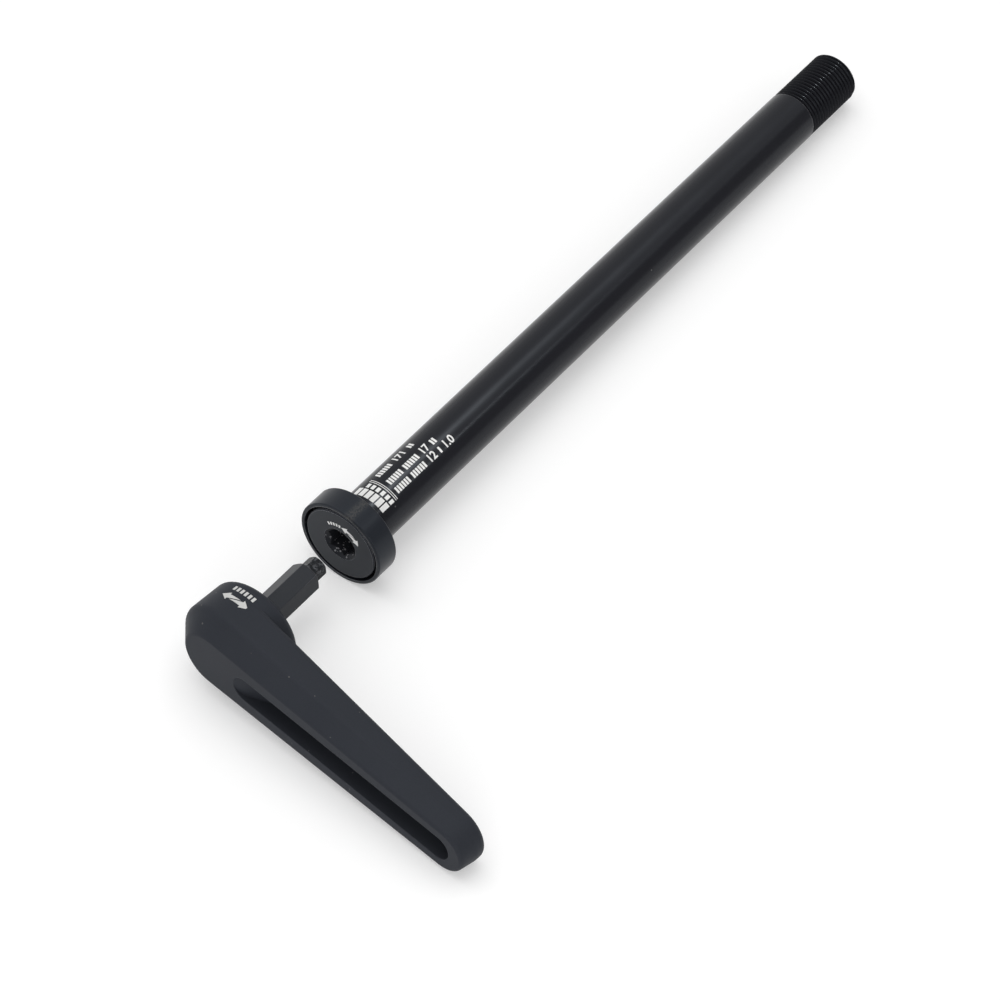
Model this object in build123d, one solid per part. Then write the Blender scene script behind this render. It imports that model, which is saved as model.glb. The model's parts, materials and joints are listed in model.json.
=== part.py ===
from build123d import *
import os
from math import acos, asin, atan, cos, degrees, radians, sin, sqrt

# A hollow 12 mm bicycle thru axle with its plug-in lever, lying on a flat surface.
# The axle rests on its collar's back rim and on its threaded end. The lever is drawn
# out of the head along the axle's own line, with the tip of its handle on the surface.
# Millimetres, +Z up, +X from the head to the thread.

# Shaft
shaft_diameter = 12.0
length_under_head = 171.0
thread_length = 17.0
thread_major_diameter = 11.9
thread_lead_chamfer = 0.7
thread_shoulder_chamfer = 0.35
bore_diameter = 8.0
bore_chamfer = 0.5

# Head disc and socket
collar_length = 5.5
disc_thickness = 2.6
disc_edge_chamfer = 0.25
socket_across_flats = 6.1
socket_depth = 14.0
socket_mouth_diameter = 7.9

# Collar that turns freely behind the disc
collar_diameter = 20.0
collar_rim_wall = 0.8
collar_rim_round = 0.3
collar_back_round = 0.35
disc_gap = 0.62
disc_back_clearance = 0.15
collar_slip = 0.05
undercut_depth = 0.3
undercut_overrun = 0.8

# Wire ring that keeps the collar on the shaft
ring_wire_diameter = 1.0
ring_clearance = 0.05

# Hex key
key_across_flats = 6.0
key_length = 15.0
key_end_chamfer = 0.5
stub_across_flats = 4.0
stub_length = 3.4
stub_end_chamfer = 0.25
key_seat_depth = 9.0
key_seat_clearance = 0.01
key_roll = 45.0

# Lever
boss_diameter = 20.5
boss_front_round = 1.5
shoulder_height = 10.0
shoulder_round = 2.0
lever_height = 14.0
handle_reach = 61.0
handle_sweep = 4.8
side_tip_radius = 6.0
face_boss_radius = 6.3
face_tip_radius = 5.4
face_round = 0.8
inner_face_start = 2.6
tip_side_height = 2.6
inner_round = 1.4
pocket_width = 6.1
pocket_depth = 5.5
pocket_start = 6.8
pocket_ramp = 12.0
pocket_end_wall = 3.2

# How far the lever is drawn out: from the head's face to the boss
lever_gap = 25.2


def hexagon(across_flats, roll):
    return RegularPolygon(across_flats / sqrt(3), 6, rotation=roll)


def ring_groove_center():
    # The wire sits half in the shaft and half in the collar, midway behind the disc
    web_start = disc_thickness + disc_back_clearance
    return (web_start + collar_length) / 2


# How the axle lies: the collar's back rim and the thread's end touch the surface
collar_radius = collar_diameter / 2
shaft_radius = shaft_diameter / 2
thread_radius = thread_major_diameter / 2
total_length = collar_length + length_under_head
rim_contact = collar_radius - collar_back_round
thread_contact = total_length - thread_lead_chamfer
contact_run = thread_contact - (collar_length - collar_back_round)
contact_drop = rim_contact + collar_back_round - thread_radius
lie_tilt = degrees(asin(contact_drop / contact_run))
axle_line = (cos(radians(lie_tilt)), 0, -sin(radians(lie_tilt)))
collar_lift = collar_back_round + rim_contact * cos(radians(lie_tilt))
head_height = collar_lift + (collar_length - collar_back_round) * sin(radians(lie_tilt))
head_plane = Plane(origin=(0, 0, head_height), x_dir=(0, 1, 0), z_dir=axle_line)

# How the lever lies: its handle droops until the inner edge of the tip's side touches the surface
boss_height = head_height + lever_gap * sin(radians(lie_tilt))
sweep = radians(handle_sweep)
tip_edge_height = shoulder_height - tip_side_height + inner_round
tip_run = handle_reach * cos(sweep) - tip_edge_height * sin(sweep)
tip_out = handle_reach * sin(sweep) + tip_edge_height * cos(sweep)
tip_drop = boss_height + tip_out * sin(radians(lie_tilt)) - side_tip_radius
lever_droop = degrees(asin(tip_drop / tip_run))
droop = radians(lever_droop)
boss_plane = Plane(
    origin=head_plane.origin - Vector(*axle_line) * lever_gap,
    x_dir=(0, -cos(droop), -sin(droop)),
    z_dir=(-axle_line[0], 0, -axle_line[2]),
)


def make_shaft():
    disc_radius = collar_radius - collar_rim_wall - disc_gap
    thread_start = total_length - thread_length
    tube_end = thread_start - thread_shoulder_chamfer
    groove_bottom = shaft_radius - ring_wire_diameter / 2 - ring_clearance
    groove_half = ring_wire_diameter / 2 + ring_clearance
    groove = ring_groove_center()
    undercut_radius = shaft_radius - undercut_depth
    undercut_start = (groove + groove_half + collar_length) / 2
    undercut_end = collar_length + undercut_overrun
    outline = Polyline(
        (0, 0),
        (disc_radius - disc_edge_chamfer, 0),
        (disc_radius, disc_edge_chamfer),
        (disc_radius, disc_thickness),
        (shaft_radius, disc_thickness),
        (shaft_radius, groove - groove_half),
        (groove_bottom, groove - groove_half),
        (groove_bottom, groove + groove_half),
        (shaft_radius, groove + groove_half),
        (shaft_radius, undercut_start),
        (undercut_radius, undercut_start),
        (undercut_radius, undercut_end),
        (shaft_radius, undercut_end),
        (shaft_radius, tube_end),
        (thread_radius - thread_shoulder_chamfer, thread_start),
        (thread_radius, thread_start + thread_shoulder_chamfer),
        (thread_radius, total_length - thread_lead_chamfer),
        (thread_radius - thread_lead_chamfer, total_length),
        (0, total_length),
        close=True,
    )
    shaft = revolve(Plane.XZ * make_face(outline), Axis.Z)

    # Through bore from the threaded end, hex socket and its round mouth from the head
    bore_radius = bore_diameter / 2
    mouth_radius = socket_mouth_diameter / 2
    mouth_depth = mouth_radius - socket_across_flats / 2
    bore_outline = Polyline(
        (0, socket_depth),
        (bore_radius, socket_depth),
        (bore_radius, total_length - bore_chamfer),
        (bore_radius + bore_chamfer, total_length),
        (0, total_length),
        close=True,
    )
    mouth_outline = Polyline((0, 0), (mouth_radius, 0), (0, mouth_radius), close=True)
    shaft -= revolve(Plane.XZ * make_face(bore_outline), Axis.Z)
    shaft -= extrude(hexagon(socket_across_flats, socket_roll), socket_depth)
    mouth = revolve(Plane.XZ * make_face(mouth_outline), Axis.Z)
    mouth &= Pos(0, 0, mouth_depth / 2) * Cylinder(mouth_radius, mouth_depth)
    return shaft - mouth


def make_collar():
    bore_radius = shaft_radius + collar_slip
    cup_radius = collar_radius - collar_rim_wall
    cup_depth = disc_thickness + disc_back_clearance
    groove_radius = shaft_radius + ring_wire_diameter / 2 + ring_clearance
    groove_half = ring_wire_diameter / 2 + ring_clearance
    groove = ring_groove_center()
    outline = Polyline(
        (cup_radius, 0),
        (collar_radius, 0),
        (collar_radius, collar_length),
        (bore_radius, collar_length),
        (bore_radius, groove + groove_half),
        (groove_radius, groove + groove_half),
        (groove_radius, groove - groove_half),
        (bore_radius, groove - groove_half),
        (bore_radius, cup_depth),
        (cup_radius, cup_depth),
        close=True,
    )
    face = make_face(outline)
    front_corner = face.vertices().filter_by_position(Axis.Y, 0, 0).sort_by(Axis.X)[-1]
    face = fillet(front_corner, collar_rim_round)
    back_corner = face.vertices().filter_by_position(Axis.Y, collar_length, collar_length).sort_by(Axis.X)[-1]
    face = fillet(back_corner, collar_back_round)
    return revolve(Plane.XZ * face, Axis.Z)


def make_ring():
    return Pos(0, 0, ring_groove_center()) * Torus(shaft_radius, ring_wire_diameter / 2)


def make_key():
    # Local frame of the lever: +Z out of the boss, away from the axle
    key = Pos(0, 0, -key_length) * extrude(hexagon(key_across_flats, key_roll), key_length + key_seat_depth)
    stub = extrude(hexagon(stub_across_flats, key_roll), stub_length)
    key = rounded_end(key, -key_length, key_across_flats, key_end_chamfer)
    stub = rounded_end(Pos(0, 0, -key_length - stub_length) * stub, -key_length - stub_length,
                       stub_across_flats, stub_end_chamfer)
    return key + stub


def rounded_end(prism, end, across_flats, chamfer_depth):
    # Turned lead on a hex end: a cone takes the corners off
    corner_radius = across_flats / sqrt(3)
    lead_radius = corner_radius - 2 * chamfer_depth
    reach = key_length + stub_length + key_seat_depth
    outline = Polyline(
        (0, end),
        (lead_radius, end),
        (corner_radius, end + chamfer_depth),
        (corner_radius, end + reach),
        (0, end + reach),
        close=True,
    )
    return prism & revolve(Plane.XZ * make_face(outline), Axis.Z)


def lever_outline(boss_radius, tip_radius):
    # Straight sides that run off the boss's circle and on to the tip's
    turn = acos((boss_radius - tip_radius) / handle_reach)
    boss_x = boss_radius * cos(turn)
    boss_y = boss_radius * sin(turn)
    tip_x = handle_reach + tip_radius * cos(turn)
    tip_y = tip_radius * sin(turn)
    outline = Curve() + [
        Line((boss_x, boss_y), (tip_x, tip_y)),
        ThreePointArc((tip_x, tip_y), (handle_reach + tip_radius, 0), (tip_x, -tip_y)),
        Line((tip_x, -tip_y), (boss_x, -boss_y)),
        ThreePointArc((boss_x, -boss_y), (-boss_radius, 0), (boss_x, boss_y)),
    ]
    return make_face(outline)


def make_lever():
    # Straight sides up to a shoulder, then drafted sides up to the outer face
    boss_radius = boss_diameter / 2
    side = lever_outline(boss_radius, side_tip_radius)
    face = lever_outline(face_boss_radius, face_tip_radius)
    shoulder = Plane.XY.offset(shoulder_height)
    outer = Plane.XY.offset(lever_height)
    blank = Pos(0, 0, -boss_radius) * extrude(side, boss_radius + shoulder_height)
    handle = blank + loft([shoulder * side, outer * face], ruled=True)

    # The inner side falls back towards the tip, away from the boss's front
    fall_height = shoulder_height - inner_face_start - tip_side_height
    fall_angle = degrees(atan(fall_height / (handle_reach + side_tip_radius)))
    fall = Plane(Pos(0, 0, inner_face_start) * Rot(0, -fall_angle, 0))
    handle = split(handle, fall, keep=Keep.TOP)
    handle = fillet(edges_on(handle, fall), inner_round)
    handle = fillet(edges_on(handle, shoulder), shoulder_round)
    handle = fillet(edges_on(handle, outer), face_round)

    # The boss runs on to the front; all of it is swept back, and the front is cut square to the key
    boss = Pos(0, 0, -boss_radius) * extrude(Circle(boss_radius), boss_radius + shoulder_height / 2)
    lever = Rot(0, -handle_sweep, 0) * (handle + boss - make_pocket())
    lever = split(lever, Plane.XY, keep=Keep.TOP)
    front_rim = lever.faces().sort_by(Axis.Z)[0].edges()
    lever = fillet(front_rim, boss_front_round)
    seat = hexagon(key_across_flats + 2 * key_seat_clearance, key_roll)
    return lever - extrude(seat, key_seat_depth)


def edges_on(solid, plane):
    return solid.edges().filter_by(lambda edge: abs(plane.to_local_coords(edge @ 0.5).Z) < 1e-4)


def make_pocket():
    # Long pocket in the outer face, with a ramp at the boss and a round end at the tip
    end = handle_reach + face_tip_radius - pocket_end_wall
    floor = lever_height - pocket_depth
    plan = Pos((pocket_start + end) / 2, 0) * SlotOverall(end - pocket_start, pocket_width)
    outline = Polyline(
        (pocket_start, lever_height),
        (pocket_start + pocket_ramp, floor),
        (end, floor),
        (end, lever_height),
        close=True,
    )
    depth = extrude(Plane.XZ * make_face(outline), pocket_width, both=True)
    return extrude(Pos(0, 0, floor) * plan, pocket_depth) & depth


# The socket is turned so that the key enters it as the lever lies
socket_roll = 180 + lever_droop - key_roll

pieces = {
    "axle_shaft": head_plane * make_shaft(),
    "head_collar": head_plane * make_collar(),
    "collar_ring": head_plane * make_ring(),
    "lever_body": boss_plane * make_lever(),
    "hex_key": boss_plane * make_key(),
}

# The origin is under the middle of the whole part, on the surface that it lies on
extent = Compound(list(pieces.values())).bounding_box()
middle = extent.center()
lay = Pos(-middle.X, -middle.Y, -extent.min.Z)

os.makedirs("parts", exist_ok=True)
for name, piece in pieces.items():
    export_step(lay * piece, f"parts/{name}.step")
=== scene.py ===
import json
import math

import bmesh
import bpy
from mathutils import Matrix, Vector


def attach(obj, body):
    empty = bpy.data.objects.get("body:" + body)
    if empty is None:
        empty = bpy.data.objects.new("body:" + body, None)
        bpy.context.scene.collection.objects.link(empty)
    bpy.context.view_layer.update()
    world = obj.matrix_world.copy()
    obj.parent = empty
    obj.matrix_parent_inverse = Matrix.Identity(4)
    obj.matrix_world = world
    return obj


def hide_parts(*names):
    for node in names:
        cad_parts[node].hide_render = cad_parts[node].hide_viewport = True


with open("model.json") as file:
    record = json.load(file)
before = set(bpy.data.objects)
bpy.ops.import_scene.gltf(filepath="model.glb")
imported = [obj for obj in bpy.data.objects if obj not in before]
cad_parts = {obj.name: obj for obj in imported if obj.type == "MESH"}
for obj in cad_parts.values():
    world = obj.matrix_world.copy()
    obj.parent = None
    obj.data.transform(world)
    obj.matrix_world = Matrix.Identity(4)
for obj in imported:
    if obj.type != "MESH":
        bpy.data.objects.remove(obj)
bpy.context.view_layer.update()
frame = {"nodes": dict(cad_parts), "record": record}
print("frame loaded:", sorted(frame["nodes"]))

scene = bpy.context.scene
scene.view_settings.view_transform = "Standard"
mm = 0.001

# The axle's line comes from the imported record: the socket's mount looks out of the head
mounts = {m["name"]: m for m in frame["record"]["mounts"]}
headCenter = Vector(mounts["hex_socket"]["pos_m"])
axleDir = -Vector(mounts["hex_socket"]["axis"]).normalized()


def frameMatrix(origin, x, y, z):
    m = Matrix((x, y, z)).transposed().to_4x4()
    m.translation = origin
    return m


# z runs from the head to the thread, x to the side away from the handle, y up
sideDir = Vector((0, 1, 0))
axleFrame = frameMatrix(headCenter, sideDir, axleDir.cross(sideDir), axleDir)

# Sizes are in mm and degrees from here on, unless a note says otherwise
lever = {
    "gap": 25.2,  # head's face to the boss's front
    "droop": 4.821064,  # degrees that the handle hangs down
    "sweep": 4.8,  # degrees that the body is swept back from the key's line
    "bossRadius": 10.25,
}
droop = math.radians(lever["droop"])
handleDir = Vector((0, -math.cos(droop), -math.sin(droop)))
bossFront = headCenter - axleDir * lever["gap"] * mm
bossFrame = frameMatrix(bossFront, handleDir, (-axleDir).cross(handleDir), -axleDir)
bossFrame = bossFrame @ Matrix.Rotation(-math.radians(lever["sweep"]), 4, "Y")


# Node helpers

def link(tree, source, target):
    tree.links.new(source, target)


def put(tree, value, socket):
    if isinstance(value, bpy.types.NodeSocket):
        tree.links.new(value, socket)
    else:
        socket.default_value = value


def calc(tree, operation, *values):
    n = tree.nodes.new("ShaderNodeMath")
    n.operation = operation
    for i, v in enumerate(values):
        put(tree, v, n.inputs[i])
    return n.outputs[0]


def dot(tree, a, b):
    n = tree.nodes.new("ShaderNodeVectorMath")
    n.operation = "DOT_PRODUCT"
    put(tree, a, n.inputs[0])
    put(tree, b, n.inputs[1])
    return n.outputs["Value"]


def smooth(tree, value, low, high):
    n = tree.nodes.new("ShaderNodeMapRange")
    n.interpolation_type = "SMOOTHSTEP"
    link(tree, value, n.inputs["Value"])
    n.inputs["From Min"].default_value = low
    n.inputs["From Max"].default_value = high
    return n.outputs["Result"]


def mixColor(tree, factor, a, b):
    n = tree.nodes.new("ShaderNodeMix")
    n.data_type = "RGBA"
    link(tree, factor, n.inputs["Factor"])
    for value, label in ((a, "A"), (b, "B")):
        put(tree, (*value, 1) if isinstance(value, tuple) else value, n.inputs[label])
    return n.outputs["Result"]


def newGroup(name, kind, inputs, outputs):
    tree = bpy.data.node_groups.new(name, kind)
    for label, socketType, value in inputs:
        s = tree.interface.new_socket(label, in_out="INPUT", socket_type=socketType)
        if value is not None:
            s.default_value = value
    for label, socketType in outputs:
        tree.interface.new_socket(label, in_out="OUTPUT", socket_type=socketType)
    return tree, tree.nodes.new("NodeGroupInput"), tree.nodes.new("NodeGroupOutput")


def useGroup(tree, group, **values):
    n = tree.nodes.new("ShaderNodeGroup")
    n.node_tree = group
    for label, value in values.items():
        n.inputs[label].default_value = value
    return n


# Surface effects that the finishes share

def makeDustAndGlintGroup():
    tree, gin, gout = newGroup("dustAndGlintSpecks", "ShaderNodeTree", [
        ("Scale", "NodeSocketFloat", 900.0),
        ("Size", "NodeSocketFloat", 0.12),
        ("Share", "NodeSocketFloat", 0.05),
    ], [("Mask", "NodeSocketFloat")])
    coord = tree.nodes.new("ShaderNodeTexCoord")
    cells = tree.nodes.new("ShaderNodeTexVoronoi")
    link(tree, coord.outputs["Object"], cells.inputs["Vector"])
    link(tree, gin.outputs["Scale"], cells.inputs["Scale"])
    split = tree.nodes.new("ShaderNodeSeparateColor")
    link(tree, cells.outputs["Color"], split.inputs[0])
    chosen = calc(tree, "LESS_THAN", split.outputs[0], gin.outputs["Share"])
    smallest = 0.4  # the least speck, as a share of the size
    spread = calc(tree, "ADD", split.outputs[1], smallest)
    reach = calc(tree, "MULTIPLY", gin.outputs["Size"], spread)
    spot = calc(tree, "LESS_THAN", cells.outputs["Distance"], reach)
    link(tree, calc(tree, "MULTIPLY", chosen, spot), gout.inputs["Mask"])
    return tree


def makeGrainGroup():
    tree, gin, gout = newGroup("surfaceGrain", "ShaderNodeTree", [
        ("Scale", "NodeSocketFloat", 2500.0),
        ("Cloud Scale", "NodeSocketFloat", 60.0),
    ], [("Fine", "NodeSocketFloat"), ("Cloud", "NodeSocketFloat")])
    coord = tree.nodes.new("ShaderNodeTexCoord")
    for label, outName, detail in (("Scale", "Fine", 3.0), ("Cloud Scale", "Cloud", 2.0)):
        noise = tree.nodes.new("ShaderNodeTexNoise")
        noise.inputs["Detail"].default_value = detail
        link(tree, coord.outputs["Object"], noise.inputs["Vector"])
        link(tree, gin.outputs[label], noise.inputs["Scale"])
        link(tree, noise.outputs["Fac"], gout.inputs[outName])
    return tree


edgeLook = {"samples": 6, "maskFrom": 0.01, "maskTo": 0.14}


def makeEdgeGroup():
    # Softens sharp edges for the light and finds them, for an edge colour that is wear and partly a
    # painted highlight
    tree, gin, gout = newGroup("edgeWearAndHighlight", "ShaderNodeTree", [
        ("Radius", "NodeSocketFloat", 0.00012),
    ], [("Mask", "NodeSocketFloat"), ("Normal", "NodeSocketVector")])
    bevel = tree.nodes.new("ShaderNodeBevel")
    bevel.samples = edgeLook["samples"]
    link(tree, gin.outputs["Radius"], bevel.inputs["Radius"])
    geometry = tree.nodes.new("ShaderNodeNewGeometry")
    turned = calc(tree, "SUBTRACT", 1.0, dot(tree, bevel.outputs[0], geometry.outputs["Normal"]))
    mask = smooth(tree, turned, edgeLook["maskFrom"], edgeLook["maskTo"])
    link(tree, mask, gout.inputs["Mask"])
    link(tree, bevel.outputs[0], gout.inputs["Normal"])
    return tree


dustAndGlintGroup = makeDustAndGlintGroup()
grainGroup = makeGrainGroup()
edgeGroup = makeEdgeGroup()


def useGrain(tree, look):
    scales = {"Scale": look["grainScale"], "Cloud Scale": look["cloudScale"]}
    grain = useGroup(tree, grainGroup, **scales)
    return grain.outputs["Fine"], grain.outputs["Cloud"]


# How much of a finish's colour follows the fine grain, and which clouds show the lighter edges, which
# are wear and partly a painted highlight
finishMix = {"fineShare": 0.6, "wornAndLitFrom": 0.25, "wornAndLitTo": 0.60}


def makeFinish(name, finish):
    mat = bpy.data.materials.new(name)
    mat.use_nodes = True
    tree = mat.node_tree
    bsdf = tree.nodes["Principled BSDF"]
    fine, cloud = useGrain(tree, finish)
    share = finishMix["fineShare"]
    blend = calc(tree, "MULTIPLY_ADD", fine, share, calc(tree, "MULTIPLY", cloud, 1 - share))
    color = mixColor(tree, blend, finish["dark"], finish["light"])
    bump = tree.nodes.new("ShaderNodeBump")
    bump.inputs["Strength"].default_value = finish["bump"]
    bump.inputs["Distance"].default_value = finish["bumpDepth"]
    link(tree, fine, bump.inputs["Height"])
    # Lighter edges where the clouds allow: wear, and partly a painted highlight along the rims
    if finish["edge"]:
        edge = useGroup(tree, edgeGroup, Radius=finish["edge"])
        wornAndLitPatches = smooth(tree, cloud, finishMix["wornAndLitFrom"], finishMix["wornAndLitTo"])
        wornAndLitEdges = calc(tree, "MULTIPLY", edge.outputs["Mask"], wornAndLitPatches)
        color = mixColor(tree, wornAndLitEdges, color, finish["wornAndLit"])
        link(tree, edge.outputs["Normal"], bump.inputs["Normal"])
    # Light specks: dust on most finishes, painted glints in the socket
    if finish["dustAndGlintShare"]:
        specks = useGroup(tree, dustAndGlintGroup, Scale=finish["dustAndGlintScale"], Size=finish["dustAndGlintSize"],
                        Share=finish["dustAndGlintShare"])
        color = mixColor(tree, specks.outputs["Mask"], color, finish["dustAndGlintColor"])
    link(tree, color, bsdf.inputs["Base Color"])
    low, high = finish["roughness"]
    link(tree, calc(tree, "MULTIPLY_ADD", cloud, high - low, low), bsdf.inputs["Roughness"])
    link(tree, bump.outputs["Normal"], bsdf.inputs["Normal"])
    bsdf.inputs["Metallic"].default_value = finish["metallic"]
    bsdf.inputs["Specular IOR Level"].default_value = finish["specular"]
    bsdf.inputs["Specular Tint"].default_value = (*finish["tint"], 1)
    return mat


# In a finish the scales are per metre, and the bump's depth and the edge's radius are in metres
anodised = {
    "grainScale": 3000.0, "cloudScale": 90.0,
    "dark": (0.0085, 0.0084, 0.0108), "light": (0.0130, 0.0129, 0.0162),
    "roughness": (0.17, 0.25), "bump": 0.04, "bumpDepth": 0.00002,
    "metallic": 0.0, "specular": 0.16, "tint": (0.84, 0.92, 1.0),
    "edge": 0.00026, "wornAndLit": (0.30, 0.30, 0.32),
    "dustAndGlintScale": 520.0, "dustAndGlintSize": 0.09, "dustAndGlintShare": 0.03, "dustAndGlintColor": (0.08, 0.08, 0.08),
}
threadFinish = dict(anodised, dark=(0.0042, 0.0041, 0.0056), light=(0.0066, 0.0064, 0.0086),
                    roughness=(0.20, 0.26), specular=0.11, edge=0.0, dustAndGlintShare=0.0)
satin = dict(anodised, grainScale=4200.0,
             dark=(0.0206, 0.0226, 0.0282), light=(0.0316, 0.0340, 0.0412),
             roughness=(0.46, 0.56), bump=0.12, specular=0.085,
             edge=0.00030, wornAndLit=(0.055, 0.058, 0.068),
             dustAndGlintScale=700.0, dustAndGlintShare=0.10, dustAndGlintSize=0.11)
machined = dict(anodised, dark=(0.0110, 0.0128, 0.0172), light=(0.0172, 0.0196, 0.0252),
                roughness=(0.26, 0.36), bump=0.08, specular=0.155)
# The socket's light specks are partly grit and partly painted glints off the grit
gritAndGlints = dict(anodised, grainScale=1500.0,
              dark=(0.0026, 0.0027, 0.0032), light=(0.022, 0.023, 0.028),
              roughness=(0.30, 0.50), bump=0.9, bumpDepth=0.0001, specular=0.16, edge=0.0,
              dustAndGlintScale=2100.0, dustAndGlintSize=0.36, dustAndGlintShare=0.26, dustAndGlintColor=(0.19, 0.19, 0.20))
spring = dict(anodised, dark=(0.30, 0.30, 0.31), light=(0.40, 0.40, 0.41),
              roughness=(0.25, 0.35), metallic=1.0, specular=0.5, tint=(1.0, 1.0, 1.0),
              edge=0.0, dustAndGlintShare=0.0)
whiteInk = dict(anodised, dark=(0.74, 0.74, 0.73), light=(0.88, 0.88, 0.87),
                roughness=(0.5, 0.65), bump=0.08, specular=0.3, tint=(1.0, 1.0, 1.0),
                edge=0.0, dustAndGlintShare=0.0)
paleInk = dict(whiteInk, dark=(0.51, 0.51, 0.50), light=(0.62, 0.62, 0.61))
blackOxide = dict(anodised, dark=(0.0185, 0.0195, 0.0228), light=(0.0280, 0.0290, 0.0330),
                  roughness=(0.30, 0.40), bump=0.06, specular=0.16,
                  wornAndLit=(0.10, 0.10, 0.11), dustAndGlintShare=0.0)

shaftBlack = makeFinish("shaftBlack", anodised)
threadBlack = makeFinish("threadBlack", threadFinish)
discBlack = makeFinish("discBlack", machined)
collarBlack = makeFinish("collarBlack", machined)
leverSatin = makeFinish("leverSatin", satin)
socketGritAndGlints = makeFinish("socketGritAndGlints", gritAndGlints)
springSteel = makeFinish("springSteel", spring)
markWhite = makeFinish("markWhite", whiteInk)
markPale = makeFinish("markPale", paleInk)
keyBlack = makeFinish("keyBlack", blackOxide)

keyStub = {
    "start": -10.2,  # where the small hex begins, along the axle from the head's face
    "fleckScale": 2300.0, "fleckContrast": 3.0,
    "dark": (0.003, 0.003, 0.0036), "light": (0.085, 0.087, 0.095),
    "bump": 0.8, "bumpDepth": 0.00012,
}


def roughenStub(mat):
    # The small hex at the key's end is coarse and flecked, the rest of the key is smooth
    tree = mat.node_tree
    bsdf = tree.nodes["Principled BSDF"]
    coord = tree.nodes.new("ShaderNodeTexCoord")
    start = headCenter.dot(axleDir) + keyStub["start"] * mm
    onStub = calc(tree, "GREATER_THAN", dot(tree, coord.outputs["Object"], axleDir), start)
    cells = tree.nodes.new("ShaderNodeTexVoronoi")
    cells.inputs["Scale"].default_value = keyStub["fleckScale"]
    link(tree, coord.outputs["Object"], cells.inputs["Vector"])
    split = tree.nodes.new("ShaderNodeSeparateColor")
    link(tree, cells.outputs["Color"], split.inputs[0])
    brightness = calc(tree, "POWER", split.outputs[0], keyStub["fleckContrast"])
    fleck = mixColor(tree, brightness, keyStub["dark"], keyStub["light"])
    smoothColor = bsdf.inputs["Base Color"].links[0].from_socket
    link(tree, mixColor(tree, onStub, smoothColor, fleck), bsdf.inputs["Base Color"])
    bump = tree.nodes.new("ShaderNodeBump")
    bump.inputs["Strength"].default_value = keyStub["bump"]
    bump.inputs["Distance"].default_value = keyStub["bumpDepth"]
    link(tree, calc(tree, "MULTIPLY", onStub, split.outputs[1]), bump.inputs["Height"])
    link(tree, bsdf.inputs["Normal"].links[0].from_socket, bump.inputs["Normal"])
    link(tree, bump.outputs["Normal"], bsdf.inputs["Normal"])


roughenStub(keyBlack)

# Where the collar's painted highlight streak lies, and how it is broken up
collarHighlight = {
    "angle": 104.0,  # round the axle, from the side away from the handle
    "width": 1.5, "core": 0.2,  # mm to either side, and the share of it that is painted at full strength
    "above": 9.0,  # mm from the axle's line
    "grainScale": 2600.0, "grainFrom": 0.25, "grainTo": 0.72,
    "cloudScale": 300.0, "cloudFrom": 0.10, "cloudTo": 0.50,
    "color": (0.048, 0.047, 0.046),
}


def paintCollarHighlight(mat):
    # Painted highlight: one strip of the collar's side is made lighter, a streak of light off its
    # machining, broken up by grain and cloud
    c = collarHighlight
    tree = mat.node_tree
    bsdf = tree.nodes["Principled BSDF"]
    place = tree.nodes.new("ShaderNodeTexCoord").outputs["Object"]
    turned = axleFrame.to_3x3() @ Matrix.Rotation(math.radians(c["angle"]), 3, "Z")
    outward, across = turned.col[0], turned.col[1]
    height = calc(tree, "SUBTRACT", dot(tree, place, outward), headCenter.dot(outward))
    offset = calc(tree, "SUBTRACT", dot(tree, place, across), headCenter.dot(across))
    width = c["width"] * mm
    strip = smooth(tree, calc(tree, "ABSOLUTE", offset), width, c["core"] * width)
    onSide = calc(tree, "GREATER_THAN", height, c["above"] * mm)
    fine, cloud = useGrain(tree, c)
    broken = calc(tree, "MULTIPLY", smooth(tree, fine, c["grainFrom"], c["grainTo"]),
                  smooth(tree, cloud, c["cloudFrom"], c["cloudTo"]))
    mask = calc(tree, "MULTIPLY", calc(tree, "MULTIPLY", strip, onSide), broken)
    unpainted = bsdf.inputs["Base Color"].links[0].from_socket
    link(tree, mixColor(tree, mask, unpainted, c["color"]), bsdf.inputs["Base Color"])


paintCollarHighlight(collarBlack)
print("finishes made")


def addObject(name, data):
    obj = bpy.data.objects.new(name, data)
    scene.collection.objects.link(obj)
    return obj


# Shaft with its thread

weld = 2e-6  # metres, points that lie closer become one

shaft = {
    "segments": 96, "sharpAngle": 28.0,
    "radius": 6.0, "discRadius": 8.58, "discThickness": 2.6, "discEdge": 0.25,
    "grooveCenter": 4.125, "grooveHalf": 0.55, "grooveRadius": 5.45,
    "undercutStart": 5.0875, "undercutEnd": 6.3, "undercutRadius": 5.7,
    "tubeEnd": 159.15, "threadStart": 159.5, "end": 176.5,
    "boreRadius": 4.0, "boreChamfer": 0.5,
    "socketFlats": 6.1, "socketDepth": 14.0, "mouthRadius": 3.95,
    "socketRoll": 135.0 + lever["droop"],  # the key enters it as the lever lies
}
thread = {
    "pitch": 1.0, "majorRadius": 5.95, "depth": 0.56, "lead": 0.7, "shoulder": 0.35,
    "stepsPerTurn": 16,
    "flank": 0.44,  # crest to root, in pitches
    "crest": 0.20,  # how round the crest is
    "phase": 0.5625,  # where the crest lies in a turn, on one of its rows
}


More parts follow.
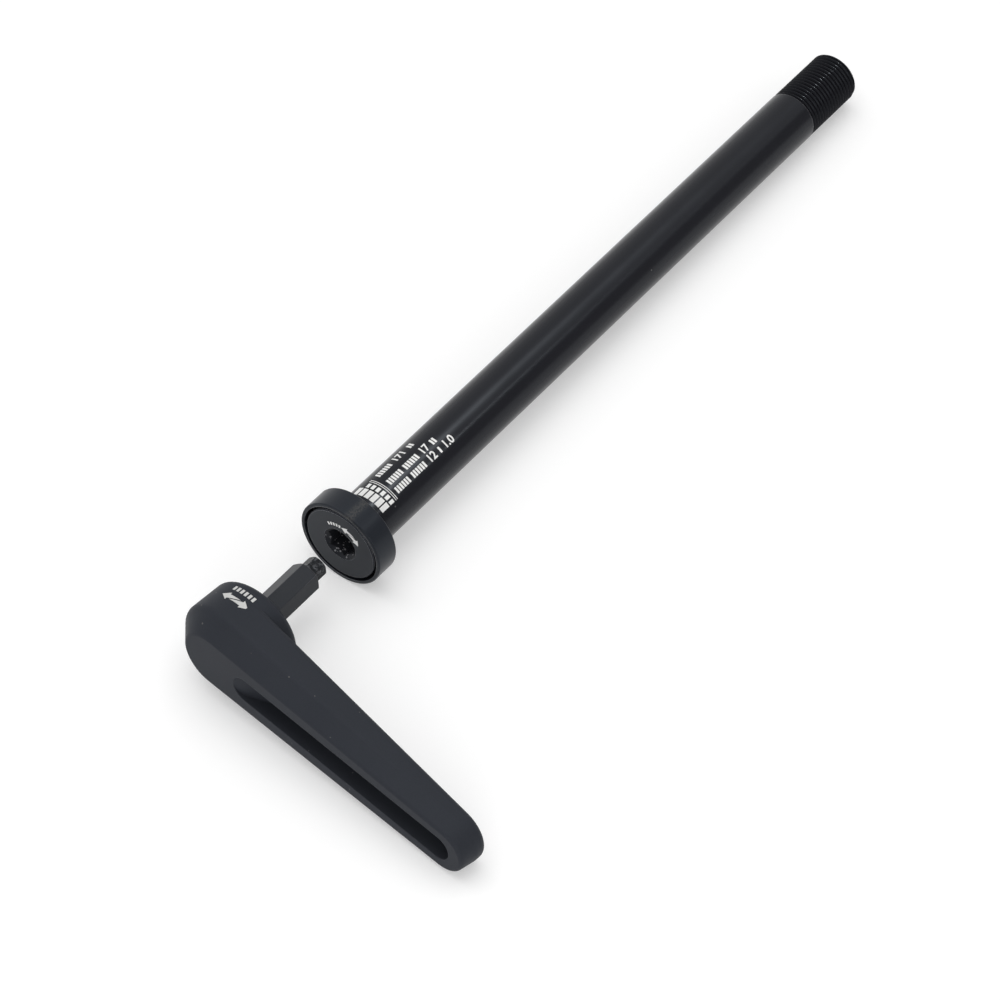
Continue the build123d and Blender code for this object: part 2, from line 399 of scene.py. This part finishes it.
def makeThreadTree():
    tree, gin, gout = newGroup("rolledThread", "GeometryNodeTree", [
        ("Pitch", "NodeSocketFloat", 0.001),
        ("Major Radius", "NodeSocketFloat", 0.00595),
        ("Depth", "NodeSocketFloat", 0.00056),
        ("Flank", "NodeSocketFloat", 0.44),
        ("Crest", "NodeSocketFloat", 0.20),
        ("Phase", "NodeSocketFloat", 0.5625),
        ("Start", "NodeSocketFloat", 0.0),
        ("End", "NodeSocketFloat", 0.017),
        ("Lead", "NodeSocketFloat", 0.0007),
        ("Shoulder", "NodeSocketFloat", 0.00035),
        ("Roll", "NodeSocketFloat", 0.0),
        ("Turns", "NodeSocketInt", 18),
        ("Segments", "NodeSocketInt", 96),
        ("Steps", "NodeSocketInt", 16),
        ("Material", "NodeSocketMaterial", None),
    ], [("Geometry", "NodeSocketGeometry")])
    size = gin.outputs
    grid = tree.nodes.new("GeometryNodeMeshGrid")
    grid.inputs["Size X"].default_value = 1
    grid.inputs["Size Y"].default_value = 1
    link(tree, calc(tree, "ADD", size["Segments"], 1), grid.inputs["Vertices X"])
    link(tree, calc(tree, "MULTIPLY_ADD", size["Turns"], size["Steps"], 1), grid.inputs["Vertices Y"])
    place = tree.nodes.new("GeometryNodeInputPosition")
    xyz = tree.nodes.new("ShaderNodeSeparateXYZ")
    link(tree, place.outputs[0], xyz.inputs[0])
    around = calc(tree, "ADD", xyz.outputs[0], 0.5)
    turn = calc(tree, "MULTIPLY", calc(tree, "ADD", xyz.outputs[1], 0.5), size["Turns"])
    climb = calc(tree, "SUBTRACT", calc(tree, "ADD", around, turn), 1.0)
    along = calc(tree, "MULTIPLY_ADD", climb, size["Pitch"], size["Start"])
    # Distance from the crest's middle, in pitches, turned into a round crest and straight flanks
    fromCrest = calc(tree, "WRAP", calc(tree, "SUBTRACT", turn, size["Phase"]), 0.5, -0.5)
    across = calc(tree, "DIVIDE", fromCrest, size["Flank"])
    steep = calc(tree, "MULTIPLY_ADD", size["Crest"], 2.0, 1.0)
    slope = calc(tree, "MULTIPLY", calc(tree, "MULTIPLY", across, across), steep)
    bend = calc(tree, "SQRT", calc(tree, "MULTIPLY_ADD", size["Crest"], size["Crest"], slope))
    fall = calc(tree, "MINIMUM", calc(tree, "SUBTRACT", bend, size["Crest"]), 1.0)
    cut = calc(tree, "MULTIPLY", fall, size["Depth"])
    profile = calc(tree, "SUBTRACT", size["Major Radius"], cut)
    # Lead chamfer at the end, shoulder chamfer at the tube
    held = calc(tree, "MINIMUM", calc(tree, "MAXIMUM", along, size["Start"]), size["End"])
    leadStart = calc(tree, "SUBTRACT", size["End"], size["Lead"])
    leadCut = calc(tree, "MAXIMUM", calc(tree, "SUBTRACT", held, leadStart), 0.0)
    shoulderEnd = calc(tree, "ADD", size["Start"], size["Shoulder"])
    shoulderCut = calc(tree, "MAXIMUM", calc(tree, "SUBTRACT", shoulderEnd, held), 0.0)
    limit = calc(tree, "SUBTRACT", size["Major Radius"], calc(tree, "MAXIMUM", leadCut, shoulderCut))
    # Rows at or beyond either end fold on to the end rings
    margin = weld / 2
    before = calc(tree, "LESS_THAN", along, calc(tree, "ADD", size["Start"], margin))
    after = calc(tree, "GREATER_THAN", along, calc(tree, "SUBTRACT", size["End"], margin))
    beyond = calc(tree, "MAXIMUM", before, after)
    inside = calc(tree, "SUBTRACT", 1.0, beyond)
    within = calc(tree, "MULTIPLY", calc(tree, "MINIMUM", profile, limit), inside)
    radius = calc(tree, "MULTIPLY_ADD", limit, beyond, within)
    angle = calc(tree, "MULTIPLY_ADD", around, math.tau, size["Roll"])
    spot = tree.nodes.new("ShaderNodeCombineXYZ")
    link(tree, calc(tree, "MULTIPLY", radius, calc(tree, "COSINE", angle)), spot.inputs[0])
    link(tree, calc(tree, "MULTIPLY", radius, calc(tree, "SINE", angle)), spot.inputs[1])
    link(tree, held, spot.inputs[2])
    move = tree.nodes.new("GeometryNodeSetPosition")
    link(tree, grid.outputs["Mesh"], move.inputs["Geometry"])
    link(tree, spot.outputs[0], move.inputs["Position"])
    merge = tree.nodes.new("GeometryNodeMergeByDistance")
    merge.inputs["Distance"].default_value = weld
    link(tree, move.outputs[0], merge.inputs["Geometry"])
    real = tree.nodes.new("GeometryNodeRealizeInstances")
    link(tree, merge.outputs[0], real.inputs["Geometry"])
    paint = tree.nodes.new("GeometryNodeSetMaterial")
    link(tree, real.outputs[0], paint.inputs["Geometry"])
    link(tree, size["Material"], paint.inputs["Material"])
    link(tree, paint.outputs[0], gout.inputs[0])
    return tree


def grownMesh(name, tree, values):
    obj = addObject(name, bpy.data.meshes.new(name))
    mod = obj.modifiers.new(name, "NODES")
    mod.node_group = tree
    sockets = {s.name: s.identifier for s in tree.interface.items_tree if s.in_out == "INPUT"}
    for label, value in values.items():
        mod[sockets[label]] = value
    bpy.context.view_layer.update()
    deps = bpy.context.evaluated_depsgraph_get()
    mesh = bpy.data.meshes.new_from_object(obj.evaluated_get(deps))
    bpy.data.objects.remove(obj)
    return mesh


threadMesh = grownMesh("threadGrown", makeThreadTree(), {
    "Pitch": thread["pitch"] * mm, "Major Radius": thread["majorRadius"] * mm,
    "Depth": thread["depth"] * mm, "Flank": thread["flank"], "Crest": thread["crest"],
    "Phase": thread["phase"],
    "Start": shaft["threadStart"] * mm, "End": shaft["end"] * mm,
    "Lead": thread["lead"] * mm, "Shoulder": thread["shoulder"] * mm,
    "Roll": math.radians(shaft["socketRoll"]),
    "Turns": math.ceil((shaft["end"] - shaft["threadStart"]) / thread["pitch"]) + 1,
    "Segments": shaft["segments"], "Steps": thread["stepsPerTurn"], "Material": threadBlack,
})
print("thread grown:", len(threadMesh.polygons), "faces")


def hexReach(angle, flats):
    # Distance from the axis to a hexagon's side, measured from a corner
    return flats / 2 / math.cos((angle % (math.pi / 3)) - math.pi / 6)


shaftFinishes = [shaftBlack, socketGritAndGlints, discBlack, threadBlack]


def makeShaft():
    s = shaft
    socketSlot = shaftFinishes.index(socketGritAndGlints)
    discSlot = shaftFinishes.index(discBlack)
    threadSlot = shaftFinishes.index(threadBlack)
    count = s["segments"]
    roll = math.radians(s["socketRoll"])
    g, h = s["grooveCenter"], s["grooveHalf"]
    threadRing = thread["majorRadius"] - thread["shoulder"]
    endRing = thread["majorRadius"] - thread["lead"]
    edge = s["discEdge"]
    hexRing = [hexReach(math.tau * i / count, s["socketFlats"]) for i in range(count)]
    socketBottom = [(r, s["socketDepth"]) for r in hexRing]
    head = [
        socketBottom,
        [(r, s["mouthRadius"] - r) for r in hexRing],
        (s["mouthRadius"], 0),
        (s["discRadius"] - edge, 0), (s["discRadius"], edge), (s["discRadius"], s["discThickness"]),
        (s["radius"], s["discThickness"]), (s["radius"], g - h), (s["grooveRadius"], g - h),
        (s["grooveRadius"], g + h), (s["radius"], g + h), (s["radius"], s["undercutStart"]),
        (s["undercutRadius"], s["undercutStart"]), (s["undercutRadius"], s["undercutEnd"]),
        (s["radius"], s["undercutEnd"]),
        (s["radius"], s["tubeEnd"]), (threadRing, s["threadStart"]),
    ]
    tail = [
        (endRing, s["end"]), (s["boreRadius"] + s["boreChamfer"], s["end"]),
        (s["boreRadius"], s["end"] - s["boreChamfer"]), (s["boreRadius"], s["socketDepth"]),
        socketBottom,
    ]
    bm = bmesh.new()
    bm.from_mesh(threadMesh)
    for face in bm.faces:
        face.material_index = threadSlot
    socketRows, discRows = 2, 5  # socket and its mouth, then the disc's face and edge
    for rows in (head, tail):
        rings = []
        for row in rows:
            points = row if isinstance(row, list) else [row] * count
            ring = []
            for i, (r, z) in enumerate(points):
                a = roll + math.tau * i / count
                ring.append(bm.verts.new((r * mm * math.cos(a), r * mm * math.sin(a), z * mm)))
            rings.append(ring)
        for n, (a, b) in enumerate(zip(rings, rings[1:])):
            for i in range(count):
                j = (i + 1) % count
                face = bm.faces.new((a[i], a[j], b[j], b[i]))
                if rows is head and n < socketRows:
                    face.material_index = socketSlot
                elif rows is head and n < discRows:
                    face.material_index = discSlot
    sliver = weld / 20
    bmesh.ops.remove_doubles(bm, verts=bm.verts, dist=weld)
    bmesh.ops.dissolve_degenerate(bm, edges=bm.edges, dist=sliver)
    bmesh.ops.recalc_face_normals(bm, faces=bm.faces)
    openEdges = sum(1 for e in bm.edges if len(e.link_faces) != 2)
    for face in bm.faces:
        face.smooth = True
    sharp = math.radians(s["sharpAngle"])
    for e in bm.edges:
        onThread = all(face.material_index == threadSlot for face in e.link_faces)
        e.smooth = onThread or e.calc_face_angle(math.pi) < sharp
    mesh = bpy.data.meshes.new("axleShaftTurned")
    for mat in shaftFinishes:
        mesh.materials.append(mat)
    bm.to_mesh(mesh)
    bm.free()
    mesh.transform(axleFrame)
    print("shaft open edges:", openEdges, "faces:", len(mesh.polygons))
    return addObject("axleShaftTurned", mesh)


shaftPiece = makeShaft()
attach(shaftPiece, "axle")
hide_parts("axle_shaft")

# CAD pieces that keep their own shape
dressed = {
    "head_collar": collarBlack,
    "collar_ring": springSteel,
    "lever_body": leverSatin,
    "hex_key": keyBlack,
}
for node, mat in dressed.items():
    slots = frame["nodes"][node].data.materials
    slots.clear()
    slots.append(mat)
print("pieces dressed")

# White marks: plain blocks, lines, numbers and turning arrows

ink = {
    "lift": 0.02, "sink": 0.03, "step": 0.25, "weld": 1e-4,
    "figureShare": 0.7,  # the height of the font's figures, of its size
    "figureWeight": 0.035,  # how much bolder they are made, of their height
    "tailReach": 0.62,  # how far an arrow's tail passes the middle, of the way to the other head
}


def rectangle(x0, x1, y0, y1):
    return [(x0, y0), (x1, y0), (x1, y1), (x0, y1)]


def turnArrows(length, tailWidth, headLength, headWidth):
    # Two arrows that point apart, whose tails taper past each other
    tip, w, t = length / 2, headWidth / 2, tailWidth / 2
    root = tip - headLength
    end = ink["tailReach"] * root
    first = [(-tip, 0), (-root, -w), (-root, -t), (end, t), (-root, t), (-root, w)]
    return [first, [(-x, -y) for x, y in first]]


def numberMesh(text, height):
    curve = bpy.data.curves.new("number", "FONT")
    curve.body = text
    curve.size = height / ink["figureShare"]
    curve.offset = height * ink["figureWeight"]
    obj = addObject("number", curve)
    bpy.context.view_layer.update()
    deps = bpy.context.evaluated_depsgraph_get()
    mesh = bpy.data.meshes.new_from_object(obj.evaluated_get(deps))
    bpy.data.objects.remove(obj)
    return mesh


def putInOrder(elements, place):
    # Sorts points or faces by where they lie, so that every run gives the same mesh
    for rank, element in enumerate(sorted(elements, key=place)):
        element.index = rank
    elements.sort()


def makeMarks(name, shapes, numbers, toSurface, matrix, mat):
    bm = bmesh.new()
    for shape in shapes:
        bm.faces.new([bm.verts.new((x, y, 0)) for x, y in shape])
    for text, height, x, y in numbers:
        mesh = numberMesh(text, height)
        mesh.transform(Matrix.Translation((x, y, 0)))
        bm.from_mesh(mesh)
    bmesh.ops.remove_doubles(bm, verts=bm.verts, dist=ink["weld"])
    # Cut into narrow strips both ways, so that the ink follows a round surface
    for axis in (0, 1):
        values = [v.co[axis] for v in bm.verts]
        normal = Vector((1, 0, 0)) if axis == 0 else Vector((0, 1, 0))
        cut = min(values) + ink["step"]
        while cut < max(values):
            geometry = bm.verts[:] + bm.edges[:] + bm.faces[:]
            bmesh.ops.bisect_plane(bm, geom=geometry, plane_co=normal * cut, plane_no=normal)
            cut += ink["step"]
    grown = bmesh.ops.extrude_face_region(bm, geom=bm.faces[:])
    top = {g for g in grown["geom"] if isinstance(g, bmesh.types.BMVert)}
    for v in bm.verts:
        z = ink["lift"] if v in top else -ink["sink"]
        v.co = Vector(toSurface(v.co.x, v.co.y, z)) * mm
    bmesh.ops.recalc_face_normals(bm, faces=bm.faces)
    putInOrder(bm.verts, lambda v: v.co[:])
    putInOrder(bm.faces, lambda f: f.calc_center_median()[:])
    mesh = bpy.data.meshes.new(name)
    mesh.materials.append(mat)
    bm.to_mesh(mesh)
    bm.free()
    mesh.transform(matrix)
    return addObject(name, mesh)


tubeMarks = {
    "start": 8.65,  # from the head's face to the first blocks
    "baseAngle": 125.0, "bandAngle": 132.0,
    "boldBlocks": 6, "boldPitch": 1.40, "boldWidth": 1.10, "boldHeight": 2.2,
    "fineBlocks": 6, "finePitch": 1.22, "fineWidth": 0.78, "fineHeight": 1.2, "fineStart": 2.6,
    "lines": 2, "lineStart": 4.25, "linePitch": 0.45, "lineWidth": 0.15, "lineLength": 7.3,
    "blockWidth": 0.50, "blockGap": 0.24, "wordGap": 0.75, "figureWidth": 0.80,
}
# Each row: how far up it stands, the height of its blocks, how much taller its figures are, where it
# starts along the tube, and what it holds, a count being so many blocks
tubeRows = [
    {"up": -0.1, "height": 1.4, "taller": 1.25, "start": 14.4, "holds": (6, 6, "12", 1, "1.0")},
    {"up": 2.2, "height": 1.4, "taller": 1.2, "start": 14.6, "holds": (6, 6, "17", 2)},
    {"up": 5.35, "height": 1.4, "taller": 1.2, "start": 14.9, "holds": (6, "171", 2)},
]


def tubeSurface(x, y, z):
    # x runs along the tube, y up the rows, which is back round the tube
    angle = math.radians(tubeMarks["baseAngle"]) - y / shaft["radius"]
    r = shaft["radius"] + z
    return r * math.cos(angle), r * math.sin(angle), x


def makeTubeMarks():
    t = tubeMarks
    low = -math.radians(t["bandAngle"] - t["baseAngle"]) * shaft["radius"]
    shapes, numbers = [], []
    # Two bands of blocks round the tube, then thin lines
    for kind, offset in (("bold", 0.0), ("fine", t["fineStart"])):
        x = t["start"] + offset
        for n in range(t[kind + "Blocks"]):
            y = low + n * t[kind + "Pitch"]
            shapes.append(rectangle(x, x + t[kind + "Height"], y, y + t[kind + "Width"]))
    for n in range(t["lines"]):
        x = t["start"] + t["lineStart"] + n * t["linePitch"]
        shapes.append(rectangle(x, x + t["lineWidth"], low, low + t["lineLength"]))
    for row in tubeRows:
        x, y, h = row["start"], row["up"], row["height"]
        for item in row["holds"]:
            if isinstance(item, str):
                tall = h * row["taller"]
                numbers.append((item, tall, x, y))
                x += len(item) * tall * t["figureWidth"]
            else:
                for n in range(item):
                    shapes.append(rectangle(x, x + t["blockWidth"], y, y + h))
                    x += t["blockWidth"] + t["blockGap"]
            x += t["wordGap"]
    return makeMarks("tubeMarks", shapes, numbers, tubeSurface, axleFrame, markWhite)


discMarks = {
    "radius": 5.25, "arrowAngle": 123.0,
    "arrowLength": 5.2, "arrowWidth": 0.8, "headLength": 1.3, "headWidth": 1.7,
    "rowAngle": 92.0, "blocks": 5, "blockPitch": 0.72, "blockWidth": 0.42,
    "blockLow": -0.35, "blockHigh": 0.4,
}


def discSurface(x, y, z):
    # x runs round the disc, y outwards
    angle = math.radians(discMarks["arrowAngle"]) + x / discMarks["radius"]
    r = discMarks["radius"] + y
    return r * math.cos(angle), r * math.sin(angle), -z


def makeDiscMarks():
    d = discMarks
    shapes = turnArrows(d["arrowLength"], d["arrowWidth"], d["headLength"], d["headWidth"])
    back = math.radians(d["rowAngle"] - d["arrowAngle"]) * d["radius"]
    for n in range(d["blocks"]):  # small plain blocks beside the arrow
        x = back - n * d["blockPitch"]
        shapes.append(rectangle(x - d["blockWidth"], x, d["blockLow"], d["blockHigh"]))
    return makeMarks("discMarks", shapes, [], discSurface, axleFrame, markWhite)


bossMarks = {
    "angle": 100.0, "arrowPlace": 5.25,
    "arrowLength": 6.9, "arrowWidth": 1.1, "headLength": 1.7, "headWidth": 2.1,
    "rowPlace": 2.85, "blocks": 6, "blockPitch": 1.0, "blockWidth": 0.6, "blockHeight": 1.1,
}


def bossSurface(x, y, z):
    # x runs round the boss, y along its axis
    angle = math.radians(bossMarks["angle"]) + x / lever["bossRadius"]
    r = lever["bossRadius"] + z
    return r * math.cos(angle), r * math.sin(angle), bossMarks["arrowPlace"] + y


def makeBossMarks():
    b = bossMarks
    shapes = turnArrows(b["arrowLength"], b["arrowWidth"], b["headLength"], b["headWidth"])
    y = b["rowPlace"] - b["arrowPlace"]
    half = b["blockHeight"] / 2
    start = -b["blocks"] * b["blockPitch"] / 2
    for n in range(b["blocks"]):
        x = start + n * b["blockPitch"]
        shapes.append(rectangle(x, x + b["blockWidth"], y - half, y + half))
    return makeMarks("bossMarks", shapes, [], bossSurface, bossFrame, markPale)


for piece, body, slotName in (
    (makeTubeMarks(), "axle", "anodised_shaft"),
    (makeDiscMarks(), "axle", "anodised_shaft"),
    (makeBossMarks(), "lever", "forged_lever"),
):
    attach(piece, body)
print("marks printed")


# Floor, light and camera

# The stage is in metres
floorLook = {
    "size": 6.0, "color": 0.92, "glow": 0.23,
    "seenColor": 0.736, "seenGlow": 0.32,  # what the camera sees, with a paler and wider shadow
    "farGlow": 0.75, "farFrom": 0.4, "farTo": 1.2,  # keeps the distance as white as the middle
}
bm = bmesh.new()
bmesh.ops.create_grid(bm, x_segments=1, y_segments=1, size=floorLook["size"] / 2)
floorMesh = bpy.data.meshes.new("floor")
bm.to_mesh(floorMesh)
bm.free()
floor = addObject("floor", floorMesh)


def seenRays(tree):
    path = tree.nodes.new("ShaderNodeLightPath")
    direct = calc(tree, "MAXIMUM", path.outputs["Is Camera Ray"], path.outputs["Is Transmission Ray"])
    return direct, path.outputs["Is Glossy Ray"]


def makeFloorWhite():
    f = floorLook
    mat = bpy.data.materials.new("floorWhite")
    mat.use_nodes = True
    tree = mat.node_tree
    tree.nodes.clear()
    diffuse = tree.nodes.new("ShaderNodeBsdfDiffuse")
    glow = tree.nodes.new("ShaderNodeEmission")
    direct, glossy = seenRays(tree)
    seen = calc(tree, "MAXIMUM", direct, glossy)
    tone = calc(tree, "MULTIPLY_ADD", direct, f["seenColor"] - f["color"], f["color"])
    link(tree, tone, diffuse.inputs["Color"])
    near = calc(tree, "MULTIPLY_ADD", direct, f["seenGlow"] - f["glow"], f["glow"])
    place = tree.nodes.new("ShaderNodeTexCoord").outputs["Object"]
    away = calc(tree, "SQRT", dot(tree, place, place))
    far = smooth(tree, away, f["farFrom"], f["farTo"])
    lit = calc(tree, "MULTIPLY_ADD", far, f["farGlow"] - f["glow"], near)
    link(tree, calc(tree, "MULTIPLY", seen, lit), glow.inputs["Strength"])
    both = tree.nodes.new("ShaderNodeAddShader")
    link(tree, diffuse.outputs[0], both.inputs[0])
    link(tree, glow.outputs[0], both.inputs[1])
    out = tree.nodes.new("ShaderNodeOutputMaterial")
    link(tree, both.outputs[0], out.inputs["Surface"])
    return mat


floorMesh.materials.append(makeFloorWhite())

# The room is white overhead and behind, and dim on the camera's side where it shows in glossy black
room = {"ambient": 0.62, "bright": 1.12, "dim": 0.40, "edge": Vector((0, 0.731, 0.682)), "blur": 0.03}


def makeRoom():
    world = bpy.data.worlds.new("studio")
    world.use_nodes = True
    tree = world.node_tree
    back = tree.nodes["Background"]
    back.inputs["Color"].default_value = (1, 1, 1, 1)
    ray = tree.nodes.new("ShaderNodeTexCoord").outputs["Generated"]
    side = smooth(tree, dot(tree, ray, room["edge"]), -room["blur"], room["blur"])
    mirrored = calc(tree, "MULTIPLY_ADD", side, room["bright"] - room["dim"], room["dim"])
    direct, glossy = seenRays(tree)
    strength = calc(tree, "MULTIPLY_ADD", direct, 1.0 - room["ambient"], room["ambient"])
    extra = calc(tree, "MULTIPLY", glossy, calc(tree, "SUBTRACT", mirrored, room["ambient"]))
    link(tree, calc(tree, "ADD", strength, extra), back.inputs["Strength"])
    return world


scene.world = makeRoom()

lamps = {
    "softbox": {"place": (-0.1, 0.75, 1.0), "size": 0.9, "watts": 1.4},
    "overhead": {"place": (0.1, 0.1, 1.3), "size": 1.2, "watts": 6.0},
    "fill": {"place": (-0.7, -0.5, 0.26), "size": 0.5, "watts": 1.75},
    "streak": {"place": (0.62, -0.66, 0.80), "size": 0.10, "watts": 0.35},
    "glint": {"place": (0.426, -0.071, 1.162), "size": 0.12, "watts": 18.0},
}


def areaLight(name, place, size, watts):
    data = bpy.data.lights.new(name, "AREA")
    data.size = size
    data.energy = watts
    obj = addObject(name, data)
    obj.location = place
    obj.rotation_euler = (-Vector(place)).to_track_quat("-Z", "Y").to_euler()
    return obj


hung = {name: areaLight(name, **look) for name, look in lamps.items()}
# The streak and the glint only shine in glossy surfaces, and the glint only on the shaft
shined = bpy.data.collections.new("shined")
shined.objects.link(shaftPiece)
hung["glint"].light_linking.receiver_collection = shined
for name in ("streak", "glint"):
    hung[name].visible_diffuse = False

cameraLook = {
    "focalPx": 3773.1, "picturePx": 1000, "sensor": 36.0, "azimuth": 37.22, "elevation": 49.28,
    "fromHead": Vector((-0.3650216, -0.3171999, 0.5740805)),  # the eye, seen from the head's face
}
camData = bpy.data.cameras.new("camera")
camData.sensor_width = cameraLook["sensor"]
camData.lens = cameraLook["focalPx"] * cameraLook["sensor"] / cameraLook["picturePx"]
cam = addObject("camera", camData)
az, el = math.radians(cameraLook["azimuth"]), math.radians(cameraLook["elevation"])
forward = Vector((math.cos(el) * math.cos(az), math.cos(el) * math.sin(az), -math.sin(el)))
cam.location = headCenter + cameraLook["fromHead"]
cam.rotation_euler = forward.to_track_quat("-Z", "Y").to_euler()
scene.camera = cam
print("stage set")
